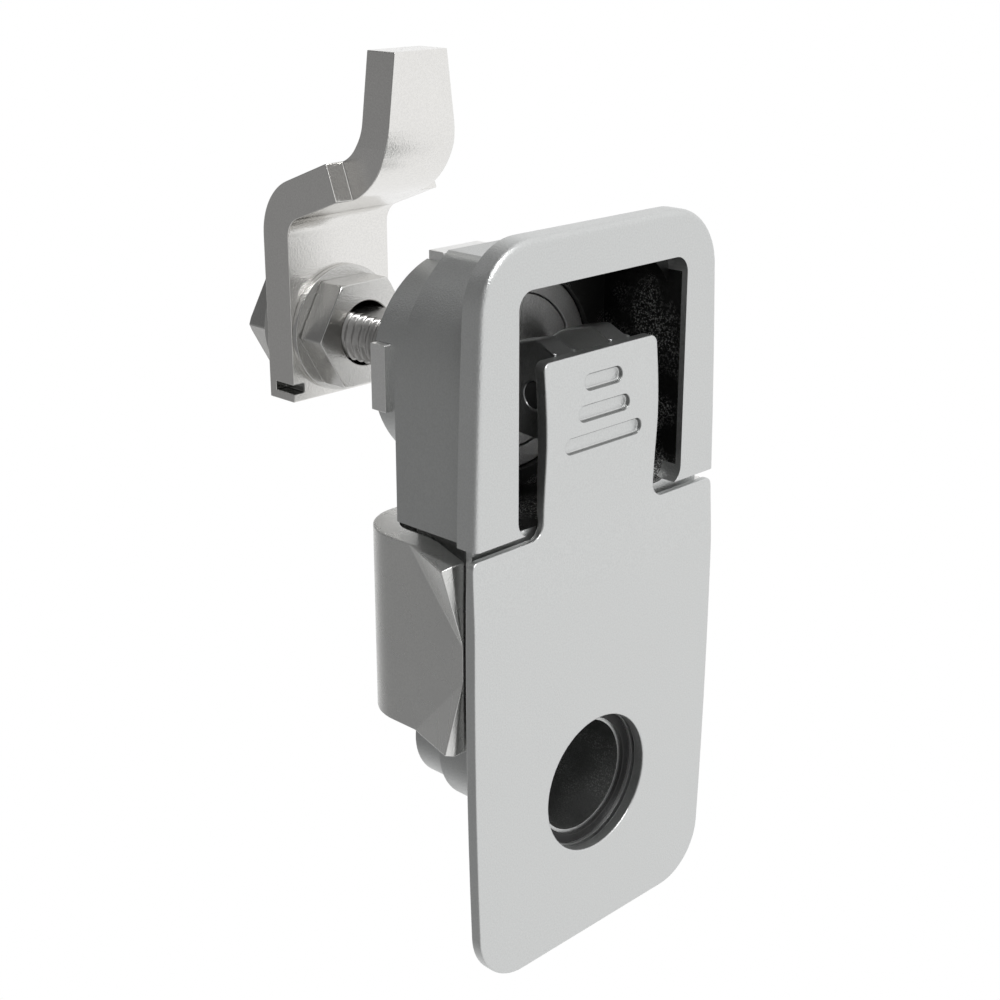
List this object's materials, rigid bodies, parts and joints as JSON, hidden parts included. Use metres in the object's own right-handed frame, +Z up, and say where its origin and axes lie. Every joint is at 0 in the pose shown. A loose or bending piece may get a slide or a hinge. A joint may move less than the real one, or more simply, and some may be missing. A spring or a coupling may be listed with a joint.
{
  "type": "compression latch",
  "caption": "Flush lift-and-turn compression latch: recessed tongue lever, round rotor boss, threaded shaft with cranked cam, and folded panel bracket.",
  "frame": {"origin": "where the rotor axis crosses the plane that seats on the outside of the door", "axes": "+Y along the rotor axis into the cabinet, +Z up the face from the lever to the recess, +X to the right seen from outside"},
  "size_m": [0.044, 0.0555, 0.1023],
  "materials": {
    "satin_zinc": "satin, fine grained",
    "housing_zinc": "satin rim, duller cast back",
    "plated_steel": "plated, semi-bright",
    "bright_plate": "bright zinc plate",
    "bracket_steel": "rolled sheet, warm grey",
    "hard_steel": "hardened, dark",
    "black_rubber": "matt"
  },
  "bodies": {
    "frame": {"housing": "housing_zinc", "end_plate": "plated_steel", "bracket": "bracket_steel", "bracket_screw": "bright_plate", "bracket_washer": "bright_plate", "lock_seal": "black_rubber"},
    "rotor_group": {"rotor": "plated_steel", "rotor_clip": "hard_steel", "rotor_seal": "black_rubber", "thrust_plate": "hard_steel", "shaft_spring": "hard_steel", "shaft_seal": "black_rubber"},
    "shaft_group": {"shaft": "plated_steel", "shaft_clip": "hard_steel", "pivot_pin": "hard_steel", "cam": "bright_plate", "front_nut": "bright_plate", "front_washer": "bright_plate", "rear_washer": "bright_plate", "rear_nut": "bright_plate"},
    "lever_group": {"lever": "satin_zinc"}
  },
  "joints": [
    {"name": "rotor_turn", "type": "hinge", "parent": "frame", "child": "rotor_group", "pos_m": [0, 0, 0], "axis": [0, -1, 0], "range_deg": [0, 90]},
    {"name": "shaft_slide", "type": "slide", "parent": "rotor_group", "child": "shaft_group", "axis": [0, 1, 0], "range_m": [0, 0.0023]},
    {"name": "lever_lift", "type": "hinge", "parent": "shaft_group", "child": "lever_group", "pos_m": [0, 0.0023, 0], "axis": [-1, 0, 0], "range_deg": [0, 75]}
  ],
  "couplings": [
    {"joint": "shaft_slide", "follows": "rotor_turn", "m_per_rad": 0.0014642},
    {"joint": "lever_lift", "follows": "rotor_turn", "ratio": 0.83333}
  ]
}
